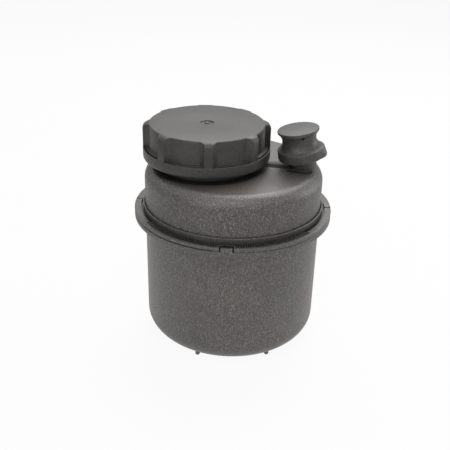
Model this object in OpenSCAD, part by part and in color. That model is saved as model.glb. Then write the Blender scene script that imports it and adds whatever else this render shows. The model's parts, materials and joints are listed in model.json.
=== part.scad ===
// Power steering reservoir: a moulded pot and dome welded at a flange, with an offset
// filler neck and screw cap over a filter element, and a plug-in dipstick.
// Millimetres. The origin is the middle of the pot's underside, +Z is up, the hose
// nipples point to +Y, and the mould parting plane of the dome is Y = 0.

/* [Pot] */
// Outside diameter of the pot
pot_d = 115.6; // [112:0.2:118]
// Height from the underside to the top of the flange
pot_h = 89.2; // [86:0.2:100]
// Wall thickness of the pot
pot_wall = 2.8; // [2:0.1:3.4]
// Thickness of the pot floor
floor_t = 3; // [2:0.1:4]
// Outside radius between wall and floor
pot_fillet = 12.6; // [10:0.2:14]
// Number of feet under the pot
foot_count = 6; // [3:1:8]
// Height of the feet
foot_h = 4.6; // [1.5:0.1:6]
// Radius at which the feet stand
foot_r = 44; // [42:0.2:46]
// Radial length of a foot
foot_l = 3; // [2:0.5:5]
// Width of a foot
foot_w = 2.2; // [1.6:0.1:4]
// Angle of the first foot
foot_turn = 7; // [-10:1:40]

/* [Flange] */
// Outside diameter of the flange
flange_d = 130; // [128:0.5:134]
// Thickness of the pot's half of the flange
low_flange_t = 3.4; // [2.6:0.1:4]
// Thickness of the dome's half of the flange
top_flange_t = 2.4; // [2:0.1:3]
// Height of the thin lip above the flange
lip_h = 3.4; // [2:0.1:6]
// Thickness of the lip
lip_t = 1; // [0.8:0.1:1.4]
// Width of the groove between dome wall and lip
lip_gap = 0.5; // [0.3:0.1:0.8]
// Width of the plain outer rim of the flange
rim_w = 2; // [1.5:0.1:3]
// Depth of the ribbed ring inside the rim
flash_depth = 0.5; // [0.3:0.1:1]
// Width of the deep channel outside the lip
trap_w = 1.5; // [1:0.1:2]
// Depth of that channel
trap_depth = 1.5; // [0.8:0.1:1.8]
// How far lip and channel run past the parting plane
lip_run = 3.6; // [1:0.1:6]
// Number of keys that locate the dome on the pot
key_count = 3; // [2:1:4]
// Width of a key
key_w = 7; // [5:0.2:9]
// Radial thickness of a key
key_t = 2.1; // [1.6:0.1:2.6]
// Side clearance of a key in its notch
key_side_gap = 0.9; // [0.4:0.1:1.4]
// Clearance behind a key
key_back_gap = 1.8; // [1:0.1:2.2]

/* [Dome] */
// Outside diameter of the dome
dome_d = 115.8; // [113:0.2:118]
// Height of the dome above the flange
dome_rise = 28.6; // [26:0.2:36]
// Wall thickness of the dome
dome_wall = 2.8; // [2:0.1:3.2]
// Outside radius of the dome's shoulder
dome_fillet = 8.2; // [6:0.2:9]
// Length of the spigot that centres the dome in the pot
spigot_l = 6.8; // [5:0.2:9]
// Wall thickness of the spigot
spigot_t = 2.4; // [1.8:0.1:2.8]
// Distance of the filler neck from the pot's axis
neck_x = -17.8; // [-19:0.2:-17]
// Radial play between filler neck and cap
neck_play = 1.8; // [1.4:0.1:2.2]
// Wall thickness of the filler neck
neck_wall = 2.6; // [2.2:0.1:3]
// Height of the filler neck above the dome
neck_h = 21.4; // [20:0.2:24]

/* [Cap] */
// Diameter of the cap's flat top
cap_disc_d = 74.4; // [73:0.2:75]
// Diameter over the grip lugs
cap_lug_d = 81.2; // [80:0.2:83]
// Diameter of the closed band below the lugs
cap_band_d = 81; // [79:0.2:82]
// Height of the closed band
cap_band_h = 7.2; // [5:0.2:9]
// Length of the cap's skirt below its top plate
cap_skirt = 19.2; // [16:0.2:19.6]
// Thickness of the cap's top plate
cap_top_t = 3.2; // [2:0.1:4]
// Wall thickness behind the windows between the lugs
cap_wall = 2.8; // [2.4:0.1:3]
// Number of grip lugs
lug_count = 8; // [6:1:10]
// Width of a lug at its crown
lug_crown = 6; // [4:0.2:8]
// Width of a lug at its root
lug_root = 10; // [8:0.2:12]
// Drop of a lug's crown below the cap's top
lug_drop = 1.1; // [0.5:0.1:2]
// Angle of the first lug
lug_turn = 6.7; // [-22:0.1:22]
// Thickness of the cap gasket
gasket_t = 2.2; // [1.6:0.1:3]

/* [Dipstick] */
// Distance of the dipstick neck from the pot's axis, at the dome's top
stick_x = 44.1; // [43:0.1:45]
// Lean of the dipstick neck from the vertical
stick_lean = 9.9; // [8:0.1:11]
// Turn of that lean out of the parting plane
stick_turn = 18; // [0:1:20]
// Outside diameter of the dipstick neck
stick_neck_d = 18.8; // [18:0.2:20]
// Bore of the dipstick neck
stick_bore = 14; // [12:0.1:14.6]
// Height of the dipstick neck along its own axis
stick_neck_h = 6.5; // [5.5:0.1:8]
// Height of the collar's underside above the neck's rim
knob_gap = 0.3; // [0.2:0.1:0.6]
// Overall height of the knob above its neck
knob_h = 19; // [18:0.2:20]
// Diameter of the knob's top
knob_top_d = 26.5; // [25:0.1:28]
// Diameter of the knob's collar
collar_d = 29.4; // [28:0.2:30]
// Height of the knob's collar
collar_h = 6.1; // [5:0.1:7]
// Diameter at the knob's waist
waist_d = 21.6; // [20:0.2:22]
// Reach of the thumb lug beyond the knob's axis
thumb_reach = 17; // [15.8:0.1:18]
// Width of the thumb lug at its tip
thumb_w = 8.4; // [6:0.2:11]
// Height of the thumb lug where it leaves the waist
thumb_h = 10.6; // [9:0.1:12]
// Length of the plug inside the neck
plug_l = 12; // [10:0.5:14]
// Radial clearance of the plug in its neck
plug_gap = 0.4; // [0.3:0.05:0.8]
// Reach of the blade below the top of the dome, along its own axis
blade_reach = 50; // [40:1:52]
// Width of the blade
blade_w = 6; // [4:0.5:7]
// Thickness of the blade
blade_t = 1; // [0.8:0.1:1.4]
// Diameter of the breather hole in the knob's waist
vent_d = 1.8; // [1.2:0.1:2.4]

/* [Filter] */
// Radial play between filter element and filler neck
filter_play = 2; // [1.5:0.1:3]
// Height of the filter element's underside above the pot's underside
filter_z = 45; // [44:0.5:46]
// Height of the filter element
filter_h = 65; // [62:0.5:66]
// Thickness of the element's end plates
plate_t = 0.8; // [0.6:0.1:1.2]
// Height of the end plates' turned edge
plate_edge = 4; // [3:0.5:6]
// Number of pleats in the paper
pleat_count = 40; // [30:1:44]
// Thickness of the pleated paper
paper_t = 0.6; // [0.5:0.1:0.8]
// Outside diameter of the perforated core
core_d = 21.6; // [21:0.1:23]
// Wall thickness of the core
core_t = 0.8; // [0.6:0.1:1]
// Width of the rubber seal under the element
seal_w = 5; // [4:0.5:6]
// Thickness of the rubber seal under the element
seal_t = 2.6; // [2:0.1:3]
// Thickness of the stand's plate
stand_t = 2.4; // [2:0.1:3]
// Diameter of the bypass hole in the top plate
bypass_hole_d = 12; // [10:0.2:13]
// Diameter of the bypass valve's disc
bypass_d = 17.6; // [16:0.2:18]
// Inside height of the bypass valve's cage
cage_h = 10; // [9:0.2:12]
// Outside diameter of the bypass valve's cage
cage_d = 24; // [22:0.5:25]
// Mean diameter of the hold-down spring
spring_d = 36; // [35:0.5:38]
// Wire diameter of the hold-down spring
spring_wire = 2.4; // [2:0.1:3]
// Number of turns in the hold-down spring
spring_turns = 5; // [4:0.5:6]

/* [Ports] */
// Distance of the suction nipple from the pot's axis
suction_x = 24; // [22:0.5:25]
// Outside diameter of the suction nipple
suction_d = 22; // [20:0.5:23]
// Bore of the suction nipple
suction_bore = 16.4; // [14:0.2:17]
// Outside diameter of the return nipple
return_d = 16; // [14:0.5:17]
// Bore of the return nipple
return_bore = 11.2; // [9:0.2:12]
// Height of both nipples above the underside
port_z = 26; // [25:0.5:27]
// Reach of the nipples behind the pot's axis
port_reach = 86; // [80:1:95]
// Height of the hose bead on a nipple
bead_h = 1.2; // [0.8:0.1:1.6]
// Length of the suction strainer
strainer_l = 20; // [14:1:24]
// Thickness of the splash baffle
baffle_t = 1.6; // [1.2:0.1:2]

/* [Hidden] */
$fn = 96;
eps = 0.01;
joint_gap = 0.1;            // clearance between rigid pieces that plug together
pot_r = pot_d / 2;
pot_inner_r = pot_r - pot_wall;
flange_r = flange_d / 2;
flange_split = pot_h - top_flange_t;
dome_r = dome_d / 2;
dome_inner_r = dome_r - dome_wall;
dome_top = pot_h + dome_rise;
ceiling_z = dome_top - dome_wall;
lip_r = dome_r + lip_gap;
spigot_r = min(pot_inner_r, dome_inner_r) - 0.2;
spigot_z = flange_split - spigot_l;
shelf_w = 2.4;
shelf_t = 2.2;
shelf_z = spigot_z - baffle_t - joint_gap;
edge_cut = 0.4;             // small chamfer along moulded edges
cap_disc_r = cap_disc_d / 2;
cap_inner_r = cap_disc_r - cap_wall;
neck_out_r = cap_inner_r - neck_play;
neck_r = neck_out_r - neck_wall;
neck_top = dome_top + neck_h;
cap_ceiling = neck_top + gasket_t;
cap_top = cap_ceiling + cap_top_t;
cap_bottom = cap_ceiling - cap_skirt;
cap_band_r = cap_band_d / 2;
cap_lug_r = cap_lug_d / 2;
dimple_r = 4;
nub_r = 1.3;
band_cut = 0.7;             // chamfer at the cap's mouth
filter_r = neck_r - filter_play;
filter_top = filter_z + filter_h;
core_r = core_d / 2;
cup_r = spring_d / 2 + 3;
cup_t = 2;
cup_boss_r = (spring_d - spring_wire) / 2 - 0.4;
cup_boss_h = 5;
spring_top = cap_ceiling - cup_t;
seat_z = filter_z - seal_t;
stand_z = seat_z - stand_t;
elbow_wall = 1.9;
elbow_skin = 1.6;
elbow_r = return_bore / 2 + elbow_skin;
elbow_bend = 12;
elbow_top = filter_z + 8;
return_face = 46;
suction_face = 40;
boss_t = 2;
bead_l = 5;
bead_inset = 6;
pad_w = 2.5;                // width of the welded pad round a nipple
pad_t = 2;
pad_y = pot_r + 1;
collar_z = stick_neck_h + knob_gap;
knob_top = collar_z + knob_h;
collar_top = collar_z + collar_h;
collar_r = collar_d / 2;
knob_r = knob_top_d / 2;
plug_r = stick_bore / 2 - plug_gap;
vent_drop = 2.8;            // depth of the breather hole's axis below the knob's top
vent_z = knob_top - vent_drop;
vent_turn = 14;             // turn of the breather hole out of the front
groove_z = 1.2;
groove_h = 2.4;
groove_r = stick_bore / 2 - groove_h + joint_gap;
thumb_draft = 1;
thumb_lip = 0.5;            // height of the lug's tip above the collar
tank_marks = [30, 42];      // dipstick levels below the dome's top: full, low

// Outline of half a cup with height h, radius r and rounded lower corner f
module cup_outline(r, h, f) {
    translate([0, f]) square([r, h - f]);
    square([r - f, h]);
    translate([r - f, f]) circle(f);
}

module ring(r_out, r_in, h) {
    difference() {
        cylinder(r = r_out, h = h);
        translate([0, 0, -eps]) cylinder(r = r_in, h = h + 2 * eps);
    }
}

// Frame of the leaning dipstick neck: its origin is on the dome's top face
module on_stick() {
    translate([stick_x, 0, dome_top])
        rotate([0, 0, stick_turn])
            rotate([0, -stick_lean, 0])
                children();
}

// Frame of a port: its own Z axis points out of the pot, to +Y
module on_port(x, y) {
    translate([x, y, port_z]) rotate([-90, 0, 0]) children();
}

module around(count, turn = 0) {
    for (i = [0 : count - 1]) rotate([0, 0, turn + i * 360 / count]) children();
}

// Round hole through the wall of a thin tube of outer radius r, on its +X side
module wall_hole(r, hole_r) {
    translate([r - 3, 0, 0]) rotate([0, 90, 0]) cylinder(r = hole_r, h = 6);
}

// Helical wire from z0 to z1 with one dead turn at each end, swept as an eight-sided tube
module coil(mean_r, wire_r, z0, z1, turns) {
    sides = 8;
    steps = 24;
    n = round(steps * turns);
    dead = 2.2 * wire_r;
    low = z0 + wire_r;
    rise = z1 - z0 - 2 * wire_r;
    pitch = (rise - 2 * dead) / (turns - 2);
    points = [
        for (i = [0 : n]) let (
            t = i / steps,
            a = 360 * t,
            z = low + (t < 1 ? dead * t
                : t > turns - 1 ? rise - dead * (turns - t)
                : dead + pitch * (t - 1))
        ) for (k = [0 : sides - 1]) let (
            b = 360 * k / sides,
            r = mean_r + wire_r * cos(b)
        ) [r * cos(a), r * sin(a), z + wire_r * sin(b)]
    ];
    walls = [
        for (i = [0 : n - 1], k = [0 : sides - 1]) let (
            p = i * sides + k,
            q = i * sides + (k + 1) % sides
        ) each [[p, q, q + sides], [p, q + sides, p + sides]]
    ];
    first = [for (k = [0 : sides - 1]) sides - 1 - k];
    last = [for (k = [0 : sides - 1]) n * sides + k];
    polyhedron(points = points, faces = concat(walls, [first, last]), convexity = 6);
}

// Nipple with a hose bead and a stop collar, from inside the wall to its open end
module nipple(d, bore, y0) {
    r = d / 2;
    l = port_reach - y0;
    difference() {
        union() {
            cylinder(r = r, h = l);
            translate([0, 0, pad_y - y0]) cylinder(r = r + pad_w, h = pad_t);
            rotate_extrude() polygon([
                [0, l - bead_inset - bead_l],
                [r, l - bead_inset - bead_l],
                [r + bead_h, l - bead_inset - 1],
                [r + bead_h, l - bead_inset],
                [r, l - bead_inset + 1],
                [0, l - bead_inset + 1]
            ]);
        }
        translate([0, 0, -eps]) cylinder(r = bore / 2, h = l + 2 * eps);
    }
}

module key_blank(width, inner, height) {
    intersection() {
        ring(flange_r, inner, height);
        translate([0, -width / 2, 0]) cube([flange_r + 1, width, height]);
    }
}

module lower_pot() {
    color("#55534f") {
        difference() {
            union() {
                rotate_extrude() cup_outline(pot_r, flange_split, pot_fillet);
                rotate_extrude() polygon([
                    [pot_r - 1, flange_split - low_flange_t],
                    [flange_r - edge_cut, flange_split - low_flange_t],
                    [flange_r, flange_split - low_flange_t + edge_cut],
                    [flange_r, flange_split - edge_cut],
                    [flange_r - edge_cut, flange_split],
                    [pot_r - 1, flange_split]
                ]);
                translate([0, 0, flange_split - 1])
                    around(key_count, -90)
                        key_blank(key_w, flange_r - key_t, top_flange_t + 1);
                // Pads for the nipples on the outside of the wall
                on_port(suction_x, suction_face)
                    cylinder(r = suction_d / 2 + pad_w, h = pad_y - suction_face);
                on_port(neck_x, return_face)
                    cylinder(r = return_d / 2 + pad_w, h = pad_y - return_face);
                around(foot_count, foot_turn)
                    translate([foot_r - foot_l / 2, -foot_w / 2, -foot_h])
                        cube([foot_l, foot_w, foot_h + floor_t]);
            }
            difference() {
                rotate_extrude()
                    translate([0, floor_t])
                        cup_outline(pot_inner_r, pot_h, pot_fillet - pot_wall);
                // Bosses round the ports and the shelf under the baffle stay
                on_port(suction_x, suction_face) cylinder(r = suction_d / 2 + 2, h = pot_r);
                on_port(neck_x, return_face) cylinder(r = return_d / 2 + 1.5, h = pot_r);
                rotate_extrude() polygon([
                    [pot_inner_r + 1, shelf_z],
                    [pot_inner_r - shelf_w, shelf_z],
                    [pot_inner_r - shelf_w, shelf_z - shelf_t],
                    [pot_inner_r + 1, shelf_z - shelf_t - shelf_w - 1]
                ]);
            }
            on_port(suction_x, suction_face - eps)
                cylinder(r = suction_d / 2 + joint_gap, h = port_reach);
            on_port(neck_x, return_face - eps)
                cylinder(r = return_d / 2 + joint_gap, h = port_reach);
        }
    }
}

module suction_nipple() {
    color("#55534f") on_port(suction_x, suction_face)
        nipple(suction_d, suction_bore, suction_face);
}

module return_nipple() {
    color("#55534f") on_port(neck_x, return_face)
        nipple(return_d, return_bore, return_face);
}

// Half ring that runs past the parting plane by lip_run, on the side away from the nipples
module front_ring(r_out, r_in, z, h) {
    intersection() {
        translate([0, 0, z]) ring(r_out, r_in, h);
        translate([-flange_r, lip_run - 2 * flange_r, z - 1])
            cube([2 * flange_r, 2 * flange_r, h + 2]);
    }
}

module upper_shell() {
    rib_r = lip_r + lip_t + trap_w;
    color("#5d5a56") {
        difference() {
            union() {
                translate([0, 0, dome_top]) mirror([0, 0, 1])
                    rotate_extrude() cup_outline(dome_r, dome_top - flange_split, dome_fillet);
                rotate_extrude() polygon([
                    [dome_r - 1, flange_split],
                    [flange_r - edge_cut, flange_split],
                    [flange_r, flange_split + edge_cut],
                    [flange_r, pot_h - edge_cut],
                    [flange_r - edge_cut, pot_h],
                    [dome_r - 1, pot_h]
                ]);
                front_ring(lip_r + lip_t, lip_r, pot_h - eps, lip_h + eps);
                translate([0, 0, spigot_z]) cylinder(r = spigot_r, h = spigot_l + eps);
                translate([neck_x, 0, ceiling_z])
                    cylinder(r = neck_out_r, h = neck_top - ceiling_z);
                on_stick() translate([0, 0, -dome_wall]) cylinder(
                    d = stick_neck_d,
                    h = stick_neck_h + dome_wall
                );
            }
            translate([0, 0, ceiling_z]) mirror([0, 0, 1])
                rotate_extrude() cup_outline(
                    dome_inner_r,
                    ceiling_z - pot_h,
                    dome_fillet - dome_wall
                );
            translate([0, 0, spigot_z - 1])
                cylinder(r = spigot_r - spigot_t, h = pot_h - spigot_z + 2);
            translate([neck_x, 0, pot_h]) cylinder(r = neck_r, h = neck_top);
            on_stick() translate([0, 0, -3 * dome_wall]) cylinder(d = stick_bore, h = 10 * dome_wall);
            // Deep channel outside the lip, and the shallow ribbed ring inside the rim
            front_ring(rib_r, lip_r + lip_t, pot_h - trap_depth, trap_depth + 1);
            front_ring(flange_r - rim_w, rib_r - eps, pot_h - flash_depth, flash_depth + 1);
            translate([0, 0, flange_split - 1]) around(key_count, -90) key_blank(
                key_w + 2 * key_side_gap,
                flange_r - key_t - key_back_gap,
                top_flange_t + 2
            );
        }
    }
}

module lug() {
    intersection() {
        rotate_extrude() polygon([
            [0, cap_bottom + cap_band_h - 1],
            [cap_lug_r, cap_bottom + cap_band_h - 1],
            [cap_lug_r, cap_top - lug_drop - edge_cut],
            [cap_lug_r - edge_cut, cap_top - lug_drop],
            [cap_disc_r - edge_cut, cap_top - 1.5 * edge_cut],
            [0, cap_top - 1.5 * edge_cut]
        ]);
        linear_extrude(height = cap_top) polygon([
            [cap_inner_r + 0.5, -lug_root / 2],
            [cap_disc_r, -lug_root / 2],
            [cap_lug_r + 1, -lug_crown / 2],
            [cap_lug_r + 1, lug_crown / 2],
            [cap_disc_r, lug_root / 2],
            [cap_inner_r + 0.5, lug_root / 2]
        ]);
    }
}

module filler_cap() {
    color("#454347") translate([neck_x, 0, 0]) {
        difference() {
            union() {
                rotate_extrude() polygon([
                    [0, cap_bottom],
                    [cap_band_r - band_cut, cap_bottom],
                    [cap_band_r, cap_bottom + band_cut],
                    [cap_band_r, cap_bottom + cap_band_h - edge_cut],
                    [cap_band_r - edge_cut, cap_bottom + cap_band_h],
                    [cap_disc_r, cap_bottom + cap_band_h],
                    [cap_disc_r, cap_top - edge_cut],
                    [cap_disc_r - edge_cut, cap_top],
                    [0, cap_top]
                ]);
                around(lug_count, -90 + lug_turn) lug();
            }
            translate([0, 0, cap_bottom - 1])
                cylinder(r = cap_inner_r, h = cap_ceiling - cap_bottom + 1);
            // Lead-in at the mouth, and the moulding dimple with its nub on top
            translate([0, 0, cap_bottom - eps])
                cylinder(r1 = cap_inner_r + 1.5, r2 = cap_inner_r, h = 1.5);
            translate([0, 0, cap_top - 0.5]) ring(dimple_r, nub_r, 1);
        }
    }
}

module cap_gasket() {
    color("#1d1d1f") translate([neck_x, 0, neck_top])
        ring(cap_inner_r - 0.3, neck_r, gasket_t);
}

// Cup that carries the cap's push on to the hold-down spring
module spring_cup() {
    color("#6b6a66") translate([neck_x, 0, 0]) {
        difference() {
            union() {
                translate([0, 0, spring_top]) cylinder(r = cup_r, h = cup_t);
                translate([0, 0, spring_top - cup_boss_h])
                    cylinder(r = cup_boss_r, h = cup_boss_h + eps);
            }
            translate([0, 0, spring_top - cup_boss_h - eps])
                cylinder(r = cup_boss_r - 2, h = cup_boss_h);
        }
    }
}

module hold_down_spring() {
    color("#b9bbbd") translate([neck_x, 0, 0])
        coil(spring_d / 2, spring_wire / 2, filter_top, spring_top, spring_turns);
}

module bypass_cage() {
    cage_r = cage_d / 2;
    color("#a9abad") translate([neck_x, 0, filter_top]) {
        difference() {
            union() {
                cylinder(r = cage_r, h = cage_h + plate_t);
                cylinder(r = cage_r + 2.5, h = plate_t);
            }
            translate([0, 0, -eps]) cylinder(r = cage_r - plate_t, h = cage_h + eps);
            cylinder(r = 3, h = 2 * cage_h);
            for (a = [0, 90]) rotate([0, 0, a]) translate([-cage_r - 1, -4, 3])
                cube([2 * cage_r + 2, 8, cage_h - 4.5]);
        }
    }
}

module bypass_spring() {
    color("#c4c6c8") translate([neck_x, 0, 0]) coil(
        bypass_d / 2 - 2,
        0.5,
        filter_top + 1.2,
        filter_top + cage_h,
        4
    );
}

module bypass_disc() {
    color("#2b2b2c") translate([neck_x, 0, filter_top]) cylinder(d = bypass_d, h = 1.2);
}

// Pressed end plate with a turned edge, its flat face on Z = 0 and its edge upwards
module end_plate(hole_r) {
    difference() {
        cylinder(r = filter_r, h = plate_edge);
        translate([0, 0, plate_t]) cylinder(r = filter_r - plate_t, h = plate_edge);
        translate([0, 0, -eps]) cylinder(r = hole_r, h = plate_edge);
    }
}

module filter_top_plate() {
    color("#b4b6b8") translate([neck_x, 0, filter_top]) mirror([0, 0, 1])
        end_plate(bypass_hole_d / 2);
}

module filter_bottom_plate() {
    color("#b4b6b8") translate([neck_x, 0, filter_z]) end_plate(elbow_r + joint_gap);
}

// Star of pleats between an outer and an inner radius
module pleats(tip_r, root_r) {
    polygon([
        for (i = [0 : 2 * pleat_count - 1]) let (
            r = i % 2 == 0 ? tip_r : root_r,
            a = 180 * i / pleat_count
        ) [r * cos(a), r * sin(a)]
    ]);
}

module filter_paper() {
    tip_r = filter_r - plate_t - joint_gap;
    root_r = core_r + joint_gap;
    // The paper's own thickness, seen along its slanted folds
    skew = paper_t * (tip_r - root_r) / ((tip_r + root_r) / 2 * 180 / pleat_count * PI / 180) / 2;
    color("#c9a35a") translate([neck_x, 0, filter_z + plate_t])
        linear_extrude(height = filter_h - 2 * plate_t) difference() {
            pleats(tip_r, root_r + skew);
            pleats(tip_r - skew, root_r);
        }
}

module filter_core() {
    rows = 8;
    row_pitch = (filter_h - 2 * plate_t) / rows;
    color("#9fa1a3") translate([neck_x, 0, filter_z + plate_t]) difference() {
        ring(core_r, core_r - core_t, filter_h - 2 * plate_t);
        for (i = [0 : rows - 1]) translate([0, 0, row_pitch * (i + 0.5)])
            around(6, (i % 2) * 30) wall_hole(core_r, 2);
    }
}

module filter_seal() {
    color("#232324") translate([neck_x, 0, seat_z])
        ring(elbow_r + seal_w, elbow_r + joint_gap, seal_t);
}

module filter_stand() {
    leg_t = 3;
    color("#4a4a4c") translate([neck_x, 0, 0]) difference() {
        union() {
            translate([0, 0, stand_z]) cylinder(r = filter_r + 2, h = stand_t);
            translate([0, 0, seat_z]) ring(filter_r + 2, filter_r + 0.5, seal_t + 2);
            around(3, -90) translate([elbow_r + seal_w, -leg_t / 2, floor_t])
                cube([filter_r - elbow_r - seal_w - leg_t, leg_t, stand_z - floor_t + eps]);
        }
        translate([0, 0, stand_z - eps]) cylinder(r = elbow_r + joint_gap, h = stand_t + 2 * eps);
        around(6) translate([filter_r * 0.7, 0, stand_z - eps]) cylinder(r = 3, h = stand_t + 1);
    }
}

module elbow_solid(r) {
    translate([0, elbow_bend, port_z]) rotate([-90, 0, 0])
        cylinder(r = r, h = return_face - elbow_bend);
    translate([0, elbow_bend, port_z + elbow_bend]) rotate([0, 90, 0]) rotate([0, 0, -90])
        rotate_extrude(angle = 90) translate([elbow_bend, 0]) circle(r);
    translate([0, 0, port_z + elbow_bend]) cylinder(r = r, h = elbow_top - port_z - elbow_bend);
}

module return_elbow() {
    color("#7a7b7c") translate([neck_x, 0, 0]) difference() {
        union() {
            elbow_solid(elbow_r);
            translate([0, return_face - boss_t, port_z]) rotate([-90, 0, 0])
                cylinder(r = return_d / 2 + 1, h = boss_t);
        }
        elbow_solid(elbow_r - elbow_wall);
    }
}

module suction_strainer() {
    strainer_r = suction_d / 2;
    color("#8b8a80") on_port(suction_x, suction_face - strainer_l) difference() {
        union() {
            cylinder(r = strainer_r, h = strainer_l);
            translate([0, 0, strainer_l - boss_t]) cylinder(r = strainer_r + 1.5, h = boss_t);
        }
        translate([0, 0, 1]) cylinder(r = strainer_r - 1, h = strainer_l);
        for (i = [0 : 2]) translate([0, 0, 4 + 5 * i])
            around(8, (i % 2) * 22.5) wall_hole(strainer_r, 1.6);
        around(6) translate([strainer_r * 0.55, 0, -1]) cylinder(r = 1.6, h = 3);
    }
}

module splash_baffle() {
    notch = 14;
    inner_row = 28;
    outer_row = 42;
    color("#6a6a68") translate([0, 0, shelf_z]) difference() {
        cylinder(r = pot_inner_r - 0.4, h = baffle_t);
        translate([neck_x, 0, -1]) cylinder(r = filter_r + 1.5, h = baffle_t + 2);
        translate([pot_inner_r - 9, -notch / 2 + 2, -1]) cube([10, notch, baffle_t + 2]);
        for (a = [-50, -25, 0, 25, 50]) rotate([0, 0, a])
            translate([inner_row, 0, -1]) cylinder(r = 3.5, h = baffle_t + 2);
        for (a = [-62, -40, 40, 62]) rotate([0, 0, a])
            translate([outer_row, 0, -1]) cylinder(r = 3, h = baffle_t + 2);
    }
}

// Knob turned round its own axis: collar, hollow waist and flat top, with the plug below
module dipstick_knob() {
    rim_h = 0.8;
    waist_shift = 0.4;
    arc_z = (collar_top + knob_top - rim_h) / 2 + waist_shift;
    arc_h = knob_top - rim_h - arc_z;
    arc_w = knob_r - waist_d / 2;
    arc_r = (arc_h * arc_h + arc_w * arc_w) / (2 * arc_w);
    tip_r = thumb_reach - thumb_draft;
    color("#6d6b69") on_stick() {
        difference() {
            union() {
                rotate_extrude() difference() {
                    polygon([
                        [0, collar_z],
                        [collar_r - 0.8, collar_z],
                        [collar_r, collar_z + 0.8],
                        [collar_r, collar_top - 0.3],
                        [collar_r - 0.3, collar_top],
                        [knob_r, knob_top - rim_h],
                        [knob_r, knob_top - edge_cut],
                        [knob_r - edge_cut, knob_top],
                        [0, knob_top]
                    ]);
                    translate([waist_d / 2 + arc_r, arc_z]) circle(arc_r);
                }
                // Thumb lug that grows out of collar and waist, wider at its root
                rotate([0, 0, -stick_turn]) intersection() {
                    rotate_extrude() polygon([
                        [0, collar_z],
                        [thumb_reach, collar_z],
                        [tip_r, collar_top + thumb_lip],
                        [waist_d / 2, collar_z + thumb_h],
                        [0, collar_z + thumb_h]
                    ]);
                    translate([0, 0, collar_z]) linear_extrude(height = thumb_h) polygon([
                        [3, 0],
                        [collar_r * 0.72, -collar_r * 0.66],
                        [thumb_reach + 1, -thumb_w / 2],
                        [thumb_reach + 1, thumb_w / 2],
                        [collar_r * 0.72, collar_r * 0.66]
                    ]);
                }
                translate([0, 0, collar_z - plug_l]) cylinder(r = plug_r, h = plug_l + eps);
            }
            // Seal groove, blade slot and the breather passage
            translate([0, 0, groove_z]) ring(plug_r + 1, groove_r, groove_h);
            translate([0, 0, collar_z - plug_l / 2]) cube([
                blade_t + joint_gap,
                blade_w + joint_gap,
                plug_l + eps
            ], center = true);
            translate([0, 0, collar_z - 1]) cylinder(d = vent_d, h = vent_z - collar_z + 1);
            translate([0, 0, vent_z]) rotate([90, 0, vent_turn - stick_turn])
                cylinder(d = vent_d, h = knob_r);
        }
    }
}

module dipstick_seal() {
    wire_r = (groove_h - 0.2) / 2;
    color("#1b1b1c") on_stick() translate([0, 0, groove_z + groove_h / 2])
        rotate_extrude() translate([stick_bore / 2 - wire_r - 0.03, 0]) circle(wire_r);
}

module dipstick_blade() {
    top = collar_z;
    color("#c2c4c6") on_stick() difference() {
        translate([-blade_t / 2, -blade_w / 2, -blade_reach])
            cube([blade_t, blade_w, blade_reach + top]);
        for (level = tank_marks, side = [-1, 1])
            translate([0, side * blade_w / 2, -level])
                cube([2 * blade_t, 1.6, 1.2], center = true);
    }
}

lower_pot();
upper_shell();
filler_cap();
cap_gasket();
spring_cup();
hold_down_spring();
bypass_cage();
bypass_spring();
bypass_disc();
filter_top_plate();
filter_paper();
filter_core();
filter_bottom_plate();
filter_seal();
filter_stand();
return_elbow();
suction_strainer();
splash_baffle();
suction_nipple();
return_nipple();
dipstick_knob();
dipstick_seal();
dipstick_blade();
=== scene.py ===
# %% [markdown]
# # Power steering reservoir
# This script dresses a moulded oil reservoir: a pot and a dome welded at a flange, a screw cap
# with eight grip lugs, and a leaning dipstick knob. The imported model gives every piece its
# place, so the first step loads it.

# %% Load the frame
import json
import math

import bpy
from mathutils import Matrix, Quaternion, Vector

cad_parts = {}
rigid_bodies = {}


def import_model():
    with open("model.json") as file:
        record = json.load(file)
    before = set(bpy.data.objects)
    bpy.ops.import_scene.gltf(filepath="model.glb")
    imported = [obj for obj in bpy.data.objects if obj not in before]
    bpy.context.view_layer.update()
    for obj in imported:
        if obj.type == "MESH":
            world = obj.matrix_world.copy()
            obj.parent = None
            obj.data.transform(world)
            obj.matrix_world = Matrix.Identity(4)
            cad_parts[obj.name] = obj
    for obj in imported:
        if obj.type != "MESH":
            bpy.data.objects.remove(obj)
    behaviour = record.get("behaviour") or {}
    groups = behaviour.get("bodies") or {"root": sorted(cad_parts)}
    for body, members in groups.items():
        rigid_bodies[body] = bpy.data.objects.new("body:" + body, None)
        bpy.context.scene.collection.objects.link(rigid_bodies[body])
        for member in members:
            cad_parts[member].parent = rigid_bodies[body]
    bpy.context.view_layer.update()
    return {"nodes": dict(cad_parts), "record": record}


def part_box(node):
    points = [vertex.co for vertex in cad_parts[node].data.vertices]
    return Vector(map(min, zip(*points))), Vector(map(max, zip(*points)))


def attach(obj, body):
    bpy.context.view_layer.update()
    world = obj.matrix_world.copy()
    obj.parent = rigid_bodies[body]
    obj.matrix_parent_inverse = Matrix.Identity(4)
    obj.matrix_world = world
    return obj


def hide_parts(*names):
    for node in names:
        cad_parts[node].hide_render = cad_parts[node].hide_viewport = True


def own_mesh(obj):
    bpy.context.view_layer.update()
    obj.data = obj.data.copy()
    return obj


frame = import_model()

# %% [markdown]
# ## Driving sizes
# All lengths are metres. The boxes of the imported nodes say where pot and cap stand. The necks'
# places are the real ones: the filler neck stands off centre to the left, and the dipstick
# neck leans at the right. Naming them once keeps every piece that meets them in line.

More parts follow.
